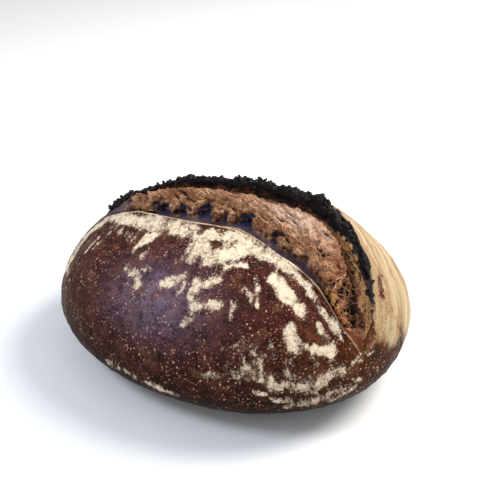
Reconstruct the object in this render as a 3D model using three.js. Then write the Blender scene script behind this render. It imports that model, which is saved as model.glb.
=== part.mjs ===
// An oval rye loaf, free-standing, with one long off-centre cut that has burst open in the oven.
//
// Frame: millimetres, +Z up, origin under the middle of the loaf on the surface it stands on.
// +X runs along the loaf to the end where the cut runs down the side, +Y away from the low side of
// the cut, so the cut leans towards -Y and the raised ear of crust stands on its +Y side.
//
// The skin is one closed surface. A ring of stations goes round the loaf at each step along it:
// under the base, up the back, over the ear, across the torn bloom and its channel, over the lip
// and down the front. Each station is a point of a plain oval body, pushed out along its normal.
import * as THREE from "three";
import { ParametricGeometry } from "three/addons/geometries/ParametricGeometry.js";
import { mergeVertices } from "three/addons/utils/BufferGeometryUtils.js";

// Driving sizes of the body
const LENGTH = 260;
const WIDTH = 220;
const CROWN = 112; // height of the body before the ear
const TIP = 36; // height of the two ends, where the loaf is longest

// Shape of the body, as powers of super-ellipses
const PLAN_POWER = 0.87; // under 1 fills the ends out
const SIDE_POWER = 1.85;
const TOP_POWER = 1.95;
const BELLY = 1.36; // how far the underside would sink, in tip heights, before the oven floor flattens it
const BASE_ROUNDING = 5;

// The cut, as plan positions (x, y): the lip is its low edge, the ear its raised edge
const CUT = { far: -108, near: 118 };
const LIP_LINE = [
  [-108, -13], [-92, -16], [-76, -20.5], [-55, -25], [-35, -28.5], [-12, -30], [8, -27.5], [27, -27],
  [44, -30], [62, -34], [76, -37.5], [90, -43], [102, -48], [110, -48], [118, -46],
];
const EAR_LINE = [
  [-108, -11], [-97, -12], [-86, -13], [-62, -9.5], [-38, -2], [-10, 7], [15, 13], [40, 15], [58, 16],
  [71, 13], [86, 1], [100, -10], [110, -23], [118, -43],
];
const EAR_RISE = [
  [-108, 0], [-100, 5], [-91, 7.5], [-80, 9], [-62, 11], [-40, 14], [0, 14], [20, 14.5], [32, 16],
  [51, 16.5], [60, 15], [70, 12.5], [86, 11], [100, 8.5], [110, 5], [118, 0],
];
const FAR_OPENING = 45; // length over which the far end of the cut opens out
const NEAR_OPENING = 24;
const EAR_CLOSING = 0.4; // under 1, the ear stays up longer than the bloom as the cut closes
const LEAST_ANGLE = 0.07; // half angle that the opening's stations keep where the cut has closed
const END_SPREAD = 0.45; // half angle that they gain at the loaf's own ends
const LEAST_RAMP = 0.45; // the crust climbs to the ear over at least this angle

// Across the opening, from the ear at 0 to the lip at 1, with the height off the body.
// The ear's heights are shares of its rise, and the rest are millimetres where the cut is open.
const EAR_SECTION = [
  [-1.3, 0], [-1.02, 0.08], [-0.75, 0.22], [-0.5, 0.42], [-0.3, 0.64], [-0.14, 0.85], [-0.05, 0.97], [0, 1],
  [0.06, 0.94], [0.07, 0.72], [0.03, 0.4], [0.04, 0.12],
];
const BLOOM_SECTION = [
  [0.1, 0], [0.2, 2.4], [0.34, 4.2], [0.48, 4.8], [0.62, 4.4], [0.73, 3], [0.79, 0.5],
  [0.82, -3], [0.88, -4.6], [0.94, -4.4], [0.975, -1.2], [1, 1.5], [1.05, 1], [1.14, 0],
];
// Where the bloom's front edge, drawn at EDGE in the sections, really stands along the loaf
const EDGE = 0.8;
const BLOOM_EDGE = [
  [-108, 0.62], [-60, 0.6], [-15, 0.68], [20, 0.73], [44, 0.8], [84, 0.82], [98, 0.87], [118, 0.87],
];
// The bloom sinks behind that edge as the cut closes at the near end
const NOTCH = { from: 76, deepest: 104, to: 118, depth: 11, across: 0.88 };

// Unevenness of the dough: how often it swells along and around the loaf, with phase and height
const SWELLS = [
  { along: 1, around: 1, phase: -0.66, height: 3.2 }, // fuller at the back of the near end
  { along: 3, around: 2, phase: 1.3, height: 0.9 },
  { along: 5, around: 3, phase: 4.1, height: 0.6 },
  { along: 2, around: 5, phase: 2.2, height: 0.5 },
];
const SWELL_FROM = 12; // swells start above this height, so that the base stays flat
const SWELL_FULL = 40;

// How finely the skin is divided
const RINGS = 72;
const BACK_STATIONS = 11;
const FRONT_STATIONS = 14;

const signedPower = (v, power) => Math.sign(v) * Math.abs(v) ** power;
const smooth = (low, high, v) => THREE.MathUtils.smoothstep(v, low, high);
const { lerp } = THREE.MathUtils;

// A smooth line through [x, value] points, held level past its ends.
function lineAt(points, x) {
  const last = points.length - 1;
  if (x <= points[0][0]) return points[0][1];
  if (x >= points[last][0]) return points[last][1];
  const i = points.findIndex((p) => p[0] > x) - 1;
  const slope = (k) => {
    const [a, b] = [points[Math.max(k - 1, 0)], points[Math.min(k + 1, last)]];
    return (b[1] - a[1]) / (b[0] - a[0]);
  };
  const [[x0, y0], [x1, y1]] = [points[i], points[i + 1]];
  const [w, t] = [x1 - x0, (x - x0) / (x1 - x0)];
  const [t2, t3] = [t * t, t * t * t];
  return (
    (2 * t3 - 3 * t2 + 1) * y0 + (t3 - 2 * t2 + t) * w * slope(i) +
    (3 * t2 - 2 * t3) * y1 + (t3 - t2) * w * slope(i + 1)
  );
}

// The oven floor: heights under it are brought up to 0, with a rounded corner above.
function flattened(z) {
  if (z > BASE_ROUNDING) return z;
  return z < -BASE_ROUNDING ? 0 : (z + BASE_ROUNDING) ** 2 / (4 * BASE_ROUNDING);
}

// Half width of the plan, as a share of WIDTH / 2.
const ringAt = (x) => Math.max(0, 1 - (x / (LENGTH / 2)) ** 2) ** (PLAN_POWER / 2);

// A point of the plain body. angle is 0 at the back, a quarter turn at the crown, a half turn in front.
function bodyPoint(x, angle) {
  const ring = ringAt(x);
  const y = (WIDTH / 2) * ring * signedPower(Math.cos(angle), 2 / SIDE_POWER);
  const rise = signedPower(Math.sin(angle), 2 / TOP_POWER);
  const reach = rise > 0 ? CROWN - TIP : TIP * BELLY;
  return new THREE.Vector3(x, y, flattened(TIP + reach * ring * rise));
}

// The body's outward normal, from two short steps over it.
function bodyNormal(x, angle) {
  const step = 0.01;
  const inside = THREE.MathUtils.clamp(x, -LENGTH / 2 + 0.5, LENGTH / 2 - 0.5);
  const across = bodyPoint(inside, angle + step).sub(bodyPoint(inside, angle - step));
  const along = bodyPoint(inside + step, angle).sub(bodyPoint(inside - step, angle));
  return across.cross(along).normalize();
}

// The angle round the body at which its upper half has the plan position y.
function angleAt(x, y) {
  const share = THREE.MathUtils.clamp(y / ((WIDTH / 2) * Math.max(ringAt(x), 1e-6)), -1, 1);
  return Math.acos(signedPower(share, SIDE_POWER / 2));
}

// The angles of the ear and the lip. Past the cut's ends their middle stays where the cut left it,
// and they move apart again towards the loaf's own end, so that its last rings aren't crowded.
function cutAngles(x) {
  const within = THREE.MathUtils.clamp(x, CUT.far, CUT.near);
  const ear = angleAt(within, lineAt(EAR_LINE, within));
  const lip = angleAt(within, lineAt(LIP_LINE, within));
  const middle = (ear + lip) / 2;
  const past = smooth(CUT.near, LENGTH / 2, x) + 1 - smooth(-LENGTH / 2, CUT.far, x);
  const half = Math.max((lip - ear) / 2, LEAST_ANGLE) + END_SPREAD * past;
  return { ear: middle - half, lip: middle + half };
}

// How open the cut is, from 0 past its ends to 1 along its middle.
const openness = (x) =>
  smooth(CUT.far, CUT.far + FAR_OPENING, x) * (1 - smooth(CUT.near - NEAR_OPENING, CUT.near, x));

// How far the bloom sinks into the notch at the near end, across the opening.
function notchDepth(x, across) {
  const along = smooth(NOTCH.from, NOTCH.deepest, x) * (1 - smooth(NOTCH.deepest, NOTCH.to, x));
  const inside = THREE.MathUtils.clamp(across / NOTCH.across, 0, 1);
  return NOTCH.depth * along * Math.sin(Math.PI * inside) ** 0.7;
}

// The share of the opening where a station of the sections stands at x.
function placedShare(x, share) {
  if (share <= 0 || share >= 1) return share;
  const edge = lineAt(BLOOM_EDGE, x);
  return share < EDGE ? (share * edge) / EDGE : 1 - ((1 - share) * (1 - edge)) / (1 - EDGE);
}

// The slow swells of the crust at a point of the body.
function swell(x, angle, z) {
  const along = Math.acos(THREE.MathUtils.clamp(-x / (LENGTH / 2), -1, 1));
  const ends = Math.sin(along);
  const total = SWELLS.reduce(
    (sum, s) => sum + s.height * Math.sin(s.along * along + s.phase) * Math.cos(s.around * angle + s.phase),
    0,
  );
  return total * ends * smooth(SWELL_FROM, SWELL_FULL, z);
}

// The heights of the opening's stations at x, from the foot of the ear's slope to the foot of the lip.
function sectionHeights(x) {
  const open = openness(x);
  const rise = lineAt(EAR_RISE, x) * open ** EAR_CLOSING;
  return [
    ...EAR_SECTION.map(([share, up]) => up * rise - (share > 0 ? (1 - up) * notchDepth(x, share) : 0)),
    ...BLOOM_SECTION.map(([share, height]) => height * open - notchDepth(x, share)),
  ];
}

// The angles of the same stations, which spread out evenly where the cut has closed.
function sectionAngles(x) {
  const { ear, lip } = cutAngles(x);
  const shares = [...EAR_SECTION, ...BLOOM_SECTION].map(([share]) => placedShare(x, share));
  const even = (i) => lerp(shares[0], shares.at(-1), i / (shares.length - 1));
  const folded = openness(x) ** EAR_CLOSING;
  return shares
    .map((share, i) => lerp(even(i), share, folded))
    .map((share) => ear + share * (share < 0 ? Math.max(lip - ear, LEAST_RAMP) : lip - ear));
}

// One ring of [angle, height off the body] stations at x, from under the base round the back,
// the ear, the bloom, the lip and the front to the base again.
function stationsAt(x) {
  const [start, end] = [-Math.PI / 2, (3 * Math.PI) / 2];
  const angles = sectionAngles(x);
  const heights = sectionHeights(x);
  const back = Array.from({ length: BACK_STATIONS }, (_, i) => lerp(start, angles[0], i / BACK_STATIONS));
  const front = Array.from({ length: FRONT_STATIONS }, (_, i) =>
    lerp(angles.at(-1), end, (i + 1) / FRONT_STATIONS),
  );
  return [
    ...back.map((angle) => [angle, 0]),
    ...angles.map((angle, i) => [angle, heights[i]]),
    ...front.map((angle) => [angle, 0]),
  ];
}

// The skin as a surface of (u, v): u round the loaf, v along it from one end to the other.
function loafSkin() {
  const slices = stationsAt(0).length - 1;
  const rings = Array.from({ length: RINGS + 1 }, (_, i) => {
    const x = (-LENGTH / 2) * Math.cos((Math.PI * i) / RINGS);
    return stationsAt(x).map(([angle, height]) => {
      const point = bodyPoint(x, angle);
      const off = height + swell(x, angle, point.z);
      return off ? point.addScaledVector(bodyNormal(x, angle), off) : point;
    });
  });
  const place = (u, v, target) => target.copy(rings[Math.round(v * RINGS)][Math.round(u * slices)]);
  return new ParametricGeometry(place, slices, RINGS);
}

// Welds the seam and the two ends, and drops the faces that have closed up there.
function welded(geometry) {
  geometry.deleteAttribute("normal");
  geometry.deleteAttribute("uv");
  const merged = mergeVertices(geometry, 1e-3);
  const corners = merged.index.array;
  const kept = [];
  for (let i = 0; i < corners.length; i += 3) {
    const [a, b, c] = corners.slice(i, i + 3);
    if (a !== b && b !== c && c !== a) kept.push(a, b, c);
  }
  merged.setIndex(kept);
  merged.computeVertexNormals();
  return merged;
}

// Moves the solid so that its box is centred on the origin and stands on the surface.
function stood(geometry) {
  geometry.computeBoundingBox();
  const { min, max } = geometry.boundingBox;
  return geometry.translate(-(min.x + max.x) / 2, -(min.y + max.y) / 2, -min.z);
}

const crust = new THREE.MeshStandardMaterial({ color: 0x5a3427, roughness: 0.62, metalness: 0 });
const loaf = new THREE.Mesh(stood(welded(loafSkin())), crust);
loaf.name = "loaf";

const bread = new THREE.Group();
bread.add(loaf);

export default bread;
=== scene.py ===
"""A dark oval rye loaf that has burst open along one off-centre cut.

The loaf's skin, the torn bloom inside the cut, the burnt crumbs of the ear and the threads of
torn dough are meshes of their own, made from one oval body that is fitted into the CAD solid's
box. Inside this script lengths are in millimetres, and to_metres() turns them into the frame's.
"""
import math

import bpy
import numpy as np
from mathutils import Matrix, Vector


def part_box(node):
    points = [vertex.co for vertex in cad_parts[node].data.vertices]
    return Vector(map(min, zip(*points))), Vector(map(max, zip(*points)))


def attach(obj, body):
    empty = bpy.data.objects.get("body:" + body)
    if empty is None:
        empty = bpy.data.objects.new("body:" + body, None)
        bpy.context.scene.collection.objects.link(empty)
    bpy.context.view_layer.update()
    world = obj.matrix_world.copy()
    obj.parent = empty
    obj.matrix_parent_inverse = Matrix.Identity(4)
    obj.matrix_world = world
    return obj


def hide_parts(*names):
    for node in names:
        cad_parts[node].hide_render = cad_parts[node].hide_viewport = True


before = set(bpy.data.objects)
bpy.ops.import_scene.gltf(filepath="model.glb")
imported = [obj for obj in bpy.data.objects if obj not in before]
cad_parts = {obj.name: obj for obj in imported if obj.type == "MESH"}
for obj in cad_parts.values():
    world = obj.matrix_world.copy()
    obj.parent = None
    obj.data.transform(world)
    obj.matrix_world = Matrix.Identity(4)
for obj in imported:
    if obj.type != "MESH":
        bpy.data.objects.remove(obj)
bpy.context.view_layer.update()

LOW, HIGH = (np.array(corner) * 1000 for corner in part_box("loaf"))
LENGTH, WIDTH, HEIGHT = HIGH - LOW
USUAL_LENGTH = 260
UNIT = LENGTH / USUAL_LENGTH  # one millimetre of a loaf of the usual length
SEED = 11
rng = np.random.default_rng(SEED)

# The body, as powers of super-ellipses, flattened underneath by the oven floor
EAR_OVER_CROWN = 16.1 * UNIT
CROWN = HEIGHT - EAR_OVER_CROWN
TIP = 36 * UNIT
PLAN_POWER = 0.87
SIDE_POWER = 1.85
TOP_POWER = 1.95
BELLY = 1.36
BASE_ROUNDING = 5 * UNIT

# The cut in plan, with the ear's rise over the body
CUT_FAR = -108 * UNIT
CUT_NEAR = 118 * UNIT
LIP_LINE = UNIT * np.array([
    (-108, -13), (-92, -16), (-76, -20.5), (-55, -25), (-35, -28.5), (-12, -30), (8, -27.5), (27, -27),
    (44, -30), (62, -34), (76, -37.5), (90, -43), (102, -48), (110, -48), (118, -46),
])
EAR_LINE = UNIT * np.array([
    (-108, -11), (-97, -12), (-86, -13), (-62, -9.5), (-38, -2), (-10, 7), (15, 13), (40, 15), (58, 16),
    (71, 13), (86, 1), (100, -10), (110, -23), (118, -43),
])
EAR_RISE = UNIT * np.array([
    (-108, 0), (-100, 5), (-91, 7.5), (-80, 9), (-62, 11), (-40, 14), (0, 14), (20, 14.5), (32, 16),
    (51, 16.5), (60, 15), (70, 12.5), (86, 11), (100, 8.5), (110, 5), (118, 0),
])
FAR_OPENING = 45 * UNIT
NEAR_OPENING = 24 * UNIT
# How soon the cut folds shut towards its ends, and how narrow its angles may get
EAR_CLOSING = 0.4
LEAST_ANGLE = 0.07
END_SPREAD = 0.45
LEAST_RAMP = 0.45

# Sections across the cut: share of the way from the ear (0) to the lip (1), height as a share of
# the ear's rise, height in millimetres where the cut is open, and stations up to the next point.
RAMP = [
    (-1.3, 0, 0, 7), (-1.02, 0.08, 0, 7), (-0.75, 0.22, 0, 7), (-0.5, 0.42, 0, 7), (-0.3, 0.64, 0, 6),
    (-0.16, 0.83, 0, 4), (-0.11, 0.9, 0, 3), (-0.09, 0.88, -0.8, 3),
]
UNDER_BLOOM = [
    (-0.085, 0.7, -1.8, 3), (-0.08, 0.35, -3, 3), (-0.03, 0, -7, 5), (0.4, 0, -9, 5), (0.7, 0, -9, 4),
    (0.86, 0, -8.5, 3),
]
LIP = [
    (0.93, 0, -7, 3), (0.955, 0, -4.2, 4), (0.975, 0, -1.2, 4), (0.99, 0, 0.9, 3), (1, 0, 1.7, 3),
    (1.012, 0, 1.6, 3), (1.04, 0, 0.9, 4), (1.09, 0, 0.45, 4), (1.18, 0, 0, 1),
]
BLOOM_TOP = [
    (-0.13, 0.86, -0.7, 4), (-0.09, 0.92, 0.2, 4), (-0.04, 0.985, 0.5, 4), (0, 1.02, 0.5, 4),
    (0.028, 0.99, 0, 4), (0.05, 0.88, 0, 6), (0.055, 0.7, 0, 7), (0.045, 0.48, 0, 7), (0.035, 0.28, 0, 6),
    (0.045, 0.1, -0.8, 5), (0.075, 0, -1.4, 6), (0.13, 0, 0.6, 12), (0.22, 0, 2.6, 14), (0.34, 0, 4.2, 15),
    (0.48, 0, 4.8, 15), (0.61, 0, 4.4, 12), (0.7, 0, 3.5, 9), (0.76, 0, 2.2, 6), (0.79, 0, 0.9, 4),
    (0.8, 0, -0.4, 4), (0.792, 0, -1.8, 4), (0.785, 0, -3.2, 4), (0.8, 0, -4.3, 5), (0.85, 0, -4.8, 6),
    (0.91, 0, -4.4, 5), (0.95, 0, -3.2, 3), (0.975, 0, -2.2, 2),
]
BLOOM_BOTTOM = [
    (0.97, 0, -8, 4), (0.75, 0, -11, 4), (0.4, 0, -13, 4), (0.1, 0, -14, 3), (-0.02, 0, -13, 3),
    (-0.095, 0.1, -9.5, 3), (-0.12, 0.5, -6, 2),
]
# How much deeper the bloom's underside lies where the cut closes
UNDERSIDE_DEPTH = 9 * UNIT

# The knob that stands up from the ear's edge: its height, and where it rises and ends
KNOB_HEIGHT = 2.6
KNOB_RISE = (48 * UNIT, 49.5 * UNIT)
KNOB_END = (53 * UNIT, 55.5 * UNIT)

# Where the bloom's front edge, drawn at EDGE in the sections, really stands along the loaf
EDGE = 0.8
BLOOM_EDGE = np.array([
    (-108, 0.4), (-84, 0.46), (-60, 0.57), (-15, 0.68), (20, 0.73), (44, 0.8), (84, 0.82), (98, 0.87),
    (118, 0.87),
]) * (UNIT, 1)

# The notch at the near end of the cut, where the bloom sinks
NOTCH_FROM = 76 * UNIT
NOTCH_DEEPEST = 104 * UNIT
NOTCH_DEPTH = 11 * UNIT
NOTCH_ACROSS = 0.88

# How far up the ear's inner face the bloom climbs, along the loaf
BLOOM_CLIMB = UNIT * np.array([
    (-100, 2), (-80, 6.5), (-50, 8), (-30, 6.5), (-10, 5), (10, 4), (28, 4), (50, 5), (66, 3.5), (82, 0),
])

# How far up the ear's inner face the burnt crust begins, as a share of the ear's height
CHAR_FROM = np.array([
    (-100, 0.2), (-60, 0.34), (0, 0.42), (40, 0.3), (64, 0.3), (76, 0.55), (90, 0.7), (104, 0.76),
    (114, 0.9),
]) * (UNIT, 1)

# Hollows that run back under the front edge of the bloom: place along the loaf, half width, and
# how far they reach back, as a share of the opening
# The bloom also gets dark blue painted shade in these hollows
HOLLOWS = [
    (-66, 3, 0.1), (-47, 6, 0.27), (-30, 3, 0.17), (-13, 5.5, 0.32), (2, 3, 0.1), (17, 7, 0.16),
    (41, 2.6, 0.1), (55, 2, 0.04), (66, 3.4, 0.07),
]

# Which way the bloom's fibres run seen from above, in degrees from the loaf's length
FIBRE_SLANT = -22
RIB_SLANT = 40
# Where along the loaf the dough turns from torn to stretched, and where its near end begins
STRETCHED = (55 * UNIT, 85 * UNIT)
NEAR_END = (84 * UNIT, 98 * UNIT)
# The groove between the bloom and the wall: where along the loaf it begins and ends, and where
# across the cut it lies, with its half width
GROOVE_RISE = (74 * UNIT, 86 * UNIT)
GROOVE_END = (100 * UNIT, 108 * UNIT)
GROOVE_ACROSS = (0.15, 0.08)

# Slow swells of the crust: waves along the loaf, waves round it, phase and height. They fade
# towards the floor, from SWELL_FULL down to SWELL_FROM.
SWELLS = [(1, 1, -0.66, 3.2), (3, 2, 1.3, 0.9), (5, 3, 4.1, 0.6), (2, 5, 2.2, 0.5)]
SWELL_FROM = 12 * UNIT
SWELL_FULL = 40 * UNIT

# Flour left by the proving basket: lines of (place along the loaf, degrees round it), where 90 is
# the crown and 180 the front, with the half width and how thick it lies
FLOUR = [
    ([
        (-112, 150), (-108, 122), (-94, 107), (-75, 108), (-58, 109.5), (-37, 111), (-21, 111),
        (-10, 111.5),
    ], 6, 0.85),
    ([(-96, 152), (-112, 149), (-120, 140)], 2.6, 0.55),
    ([(-96, 172), (-98, 155)], 2, 0.35),
    ([(-44, 124), (-37, 117)], 3.4, 1),
    ([(-91, 132), (-87, 123)], 1.5, 0.8),
    ([(-85, 129), (-77, 119)], 1.5, 0.8),
    ([(-79, 117), (-51, 119)], 4.4, 0.45),
    ([(-42, 132), (-28, 138)], 3.4, 0.72),
    ([(-31, 133), (-24, 130)], 2.2, 0.8),
    ([(-34, 127), (-31, 124)], 1.9, 0.6),
    ([(-10, 134), (2, 129)], 3, 0.82),
    ([(0, 136), (3, 133)], 2.2, 0.7),
    ([(15, 132), (22, 128)], 3, 1),
    ([(13, 131), (17, 141)], 3.7, 0.8),
    ([(19, 141), (30, 137)], 2.7, 1),
    ([(17, 142), (15, 148)], 2.2, 0.7),
    ([(38, 135), (43, 141)], 1.7, 0.65),
    ([(-5, 116), (-2, 122)], 3.7, 0.9),
    ([(-3, 113), (11, 120)], 3.7, 0.8),
    ([(13, 120), (26, 114)], 6, 1),
    ([(22, 123), (34, 120)], 3.3, 1),
    ([(-25, 117), (-22, 115)], 1.6, 0.6),
    ([(-14, 114), (-8, 116)], 2.2, 0.7),
    ([(0, 110), (15, 109), (30, 109), (46, 112), (60, 115)], 5, 0.8),
    ([(60, 115), (74, 118), (86, 124), (93, 129), (101, 137)], 2.8, 0.8),
    ([(56, 122), (68, 126), (80, 131)], 3.7, 1),
    ([(40, 117), (47, 124), (54, 132)], 1.9, 0.8),
    ([(42, 129), (49, 132)], 3, 0.7),
    ([(75, 140), (83, 149)], 3.8, 0.8),
    ([(83, 144), (87, 146)], 3, 0.6),
    ([(92, 147), (101, 148)], 3, 0.8),
    ([(96, 141), (101, 145)], 2.3, 0.65),
    ([(92, 137), (99, 141)], 2.3, 0.6),
    ([(60, 162), (74, 166), (89, 170), (99, 168), (109, 159)], 4.4, 0.68),
    ([(37, 170), (60, 165)], 3, 0.55),
    ([(69, 174), (73, 174)], 2, 0.75),
    ([(77, 180), (85, 181)], 2.4, 0.6),
    ([(86, 190), (98, 184), (110, 182), (118, 178)], 5, 0.56),
    ([(116, 145), (125, 142)], 1.5, 0.6),
    ([(112, 157), (117, 150)], 1.9, 0.5),
    ([(55, 156), (70, 158), (85, 160), (100, 162)], 12, 0.37),
    ([(-38, 186), (-8, 187), (14, 192)], 3, 0.6),
]
# Creases in the crust, in the same way. The crust sinks along them and gets painted shade there.
CREASES = [
    ([(53, 125), (62, 130), (78, 134)], 1.1, 1.0),
    ([(58, 119), (72, 122), (87, 128)], 0.9, 0.8),
    ([(8, 112), (18, 115), (30, 113)], 0.8, 0.6),
]
# The same for the far side of the ear, which the flour covers in long streaks
BACK_FLOUR = [
    ([(50, 74), (73, 73), (98, 92), (111, 105), (119, 119)], 6, 1.0),
    ([(60, 58), (96, 66), (112, 78), (122, 92)], 9, 0.78),
    ([(70, 48), (96, 54), (117, 58), (127, 66)], 8, 1.0),
    ([(119, 104), (124, 112), (128, 124)], 6, 0.95),
    ([(-80, 66), (-20, 70), (40, 66)], 14, 0.85),
    ([(-60, 40), (0, 44), (60, 36)], 16, 0.7),
    ([(-90, 22), (0, 26), (90, 26)], 15, 0.5),
    ([(-20, -5), (50, 2)], 12, 0.4),
    ([(60, 30), (105, 34), (124, 46)], 14, 0.9),
]
# Lines that stay bare there
BACK_BARE = [
    ([(76, 64), (92, 70), (106, 84), (116, 97)], 2, 0.32),
    ([(70, 42), (100, 46), (118, 54)], 2, 0.3),
    ([(-60, 55), (-10, 58), (30, 54)], 3.4, 0.4),
]
# How far the flour's outline wanders, where a stroke's thick core and its fringe end, in half
# widths, how much its thickness varies, and the steps between two points of a stroke
FLOUR_WANDER = 3.1
FLOUR_CORE = 0.35
FLOUR_FRINGE = 2.1
FLOUR_UNEVEN = 0.3
STROKE_STEPS = 7

# Burnt crumbs: how many, where along the loaf, their sizes and how common each size is
CRUMB_COUNT = 260
CRUMB_RANGE = (CUT_FAR + 6 * UNIT, 84 * UNIT)
CRUMB_SIZES = [1.5, 2.6, 4]
CRUMB_SHARES = [0.42, 0.4, 0.18]

# Kinds of thread: how many, from where across the cut and where along the loaf, their radius, how
# far they run across the cut, and how high they lift
THREADS = [
    (26, (0.1, 0.72), (86, 112), 0.24, (0.2, 0.5), 0.5),
    (14, (0.04, 0.25), (84, 108), 0.22, (0.06, 0.2), 0.4),
    (16, (0.12, 0.6), (-80, 80), 0.22, (0.04, 0.12), 0.2),
    (30, (0.66, 0.76), (-70, 84), 0.24, (0.03, 0.1), 0.4),
]
# Any direction that no thread runs along
THREAD_UP = (0.31, 0.22, 0.93)

# The curl of the lip: where along the loaf it begins and ends, and its radius
CURL_FROM = 5
CURL_TO = 36
CURL_RADIUS = 0.55

FINENESS = 1.0
CRUST_RINGS = int(330 * FINENESS)
BLOOM_RINGS = int(470 * FINENESS)
BACK_STATIONS = int(66 * FINENESS)
FRONT_STATIONS = int(104 * FINENESS)


# ---------------------------------------------------------------- numbers and noise

# Large odd numbers that scatter a cell's place and seed. Each noise takes its seed last.
HASH_X, HASH_Y, HASH_Z, HASH_SEED = 73856093, 19349663, 83492791, 668265263
HASH_MIX = 1274126177


def smooth(low, high, value):
    """A soft step from 0 at low to 1 at high."""
    share = np.clip((value - low) / (high - low), 0, 1)
    return share * share * (3 - 2 * share)


def bump(centre, half_width, value):
    """1 at the centre, falling softly to 0 at the half width."""
    return 1 - smooth(0, half_width, np.abs(value - centre))


def signed_power(value, power):
    return np.sign(value) * np.abs(value) ** power


def line_at(points, x):
    """A smooth line through (x, value) points, held level past its ends."""
    xs, ys = points[:, 0], points[:, 1]
    before = np.maximum(np.arange(len(xs)) - 1, 0)
    after = np.minimum(np.arange(len(xs)) + 1, len(xs) - 1)
    slopes = (ys[after] - ys[before]) / (xs[after] - xs[before])
    inside = np.clip(x, xs[0], xs[-1])
    i = np.clip(np.searchsorted(xs, inside, side="right") - 1, 0, len(xs) - 2)
    width = xs[i + 1] - xs[i]
    t = (inside - xs[i]) / width
    start = (2 * t ** 3 - 3 * t ** 2 + 1) * ys[i] + (t ** 3 - 2 * t ** 2 + t) * width * slopes[i]
    end = (3 * t ** 2 - 2 * t ** 3) * ys[i + 1] + (t ** 3 - t ** 2) * width * slopes[i + 1]
    return start + end


def cell_numbers(cells, seed):
    """A number from 0 to 1 for each whole-numbered cell, the same every time."""
    mixed = cells[..., 0] * HASH_X ^ cells[..., 1] * HASH_Y ^ cells[..., 2] * HASH_Z ^ seed * HASH_SEED
    mixed = (mixed ^ (mixed >> 13)) * HASH_MIX
    return ((mixed ^ (mixed >> 16)) & 0xFFFF) / 0xFFFF


def value_noise(points, seed):
    """Smooth noise from -1 to 1, with cells one unit wide."""
    cells = np.floor(points).astype(np.int64)
    t = points - cells
    t = t * t * (3 - 2 * t)
    total = np.zeros(points.shape[:-1])
    for corner in np.ndindex(2, 2, 2):
        weight = np.prod(np.where(np.array(corner) == 1, t, 1 - t), axis=-1)
        total += weight * cell_numbers(cells + np.array(corner), seed)
    return 2 * total - 1


def fractal(points, size, octaves, seed):
    """Noise of several octaves, with lumps up to about size across: one number, or one for each axis."""
    total = np.zeros(points.shape[:-1])
    for octave in range(octaves):
        total += value_noise(points / size * 2 ** octave, seed + octave) / 2 ** octave
    return total


def ridged(points, size, octaves, seed):
    """Noise with sharp ridges at 1 and hollows down to 0."""
    total, weight = np.zeros(points.shape[:-1]), 0
    for octave in range(octaves):
        total += (1 - np.abs(value_noise(points / size * 2 ** octave, seed + octave))) / 2 ** octave
        weight += 1 / 2 ** octave
    return total / weight


def cells_near(points, size, seed):
    """Distance to the nearest of scattered centres, in cell sizes, and that centre's own number."""
    scaled = points / size
    home = np.floor(scaled).astype(np.int64)
    best = np.full(points.shape[:-1], 9.0)
    number = np.zeros(points.shape[:-1])
    for step in np.ndindex(3, 3, 3):
        cell = home + np.array(step) - 1
        centre = cell + np.stack([cell_numbers(cell, seed + k) for k in range(3)], axis=-1)
        gap = np.linalg.norm(scaled - centre, axis=-1)
        nearer = gap < best
        best = np.where(nearer, gap, best)
        number = np.where(nearer, cell_numbers(cell, seed + 7), number)
    return best, number


def along_noise(x, size, seed):
    """Noise along the loaf only."""
    points = np.stack([x / size, np.full_like(x, 0.37), np.full_like(x, 0.61)], axis=-1)
    return value_noise(points, seed)


# ---------------------------------------------------------------- the body

def flattened(z):
    """The oven floor: heights under it come up to 0, with a rounded corner above."""
    rounded = (z + BASE_ROUNDING) ** 2 / (4 * BASE_ROUNDING)
    return np.where(z > BASE_ROUNDING, z, np.where(z < -BASE_ROUNDING, 0, rounded))


def ring_at(x):
    """Half width of the plan, as a share of half the width."""
    return np.clip(1 - (x / (LENGTH / 2)) ** 2, 0, 1) ** (PLAN_POWER / 2)


def body_point(x, angle):
    """A point of the plain body: angle is 0 at the back, a quarter turn at the crown."""
    ring = ring_at(x)
    rise = signed_power(np.sin(angle), 2 / TOP_POWER)
    reach = np.where(rise > 0, CROWN - TIP, TIP * BELLY)
    y = WIDTH / 2 * ring * signed_power(np.cos(angle), 2 / SIDE_POWER)
    z = flattened(TIP + reach * ring * rise)
    return np.stack(np.broadcast_arrays(x, y, z), axis=-1)


def unit_vectors(vectors):
    return vectors / np.maximum(np.linalg.norm(vectors, axis=-1, keepdims=True), 1e-12)


def body_normal(x, angle):
    step = 0.01
    inside = np.clip(x, -LENGTH / 2 + 0.5, LENGTH / 2 - 0.5)
    across = body_point(inside, angle + step) - body_point(inside, angle - step)
    along = body_point(inside + step, angle) - body_point(inside - step, angle)
    return unit_vectors(np.cross(across, along))


def angle_at(x, y):
    share = np.clip(y / (WIDTH / 2 * np.maximum(ring_at(x), 1e-6)), -1, 1)
    return np.arccos(signed_power(share, SIDE_POWER / 2))


def swell(x, angle, z):
    """The slow swells of the crust."""
    along = np.arccos(np.clip(-x / (LENGTH / 2), -1, 1))
    total = sum(
        height * UNIT * np.sin(often * along + phase) * np.cos(around * angle + phase)
        for often, around, phase, height in SWELLS
    )
    return total * np.sin(along) * smooth(SWELL_FROM, SWELL_FULL, z)


def cut_angles(x):
    """The angles of the ear and the lip."""
    within = np.clip(x, CUT_FAR, CUT_NEAR)
    ear = angle_at(within, line_at(EAR_LINE, within))
    lip = angle_at(within, line_at(LIP_LINE, within)) + lip_wave(within)
    past = smooth(CUT_NEAR, LENGTH / 2, x) + 1 - smooth(-LENGTH / 2, CUT_FAR, x)
    half = np.maximum((lip - ear) / 2, LEAST_ANGLE) + END_SPREAD * past
    return (ear + lip) / 2 - half, (ear + lip) / 2 + half


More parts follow.
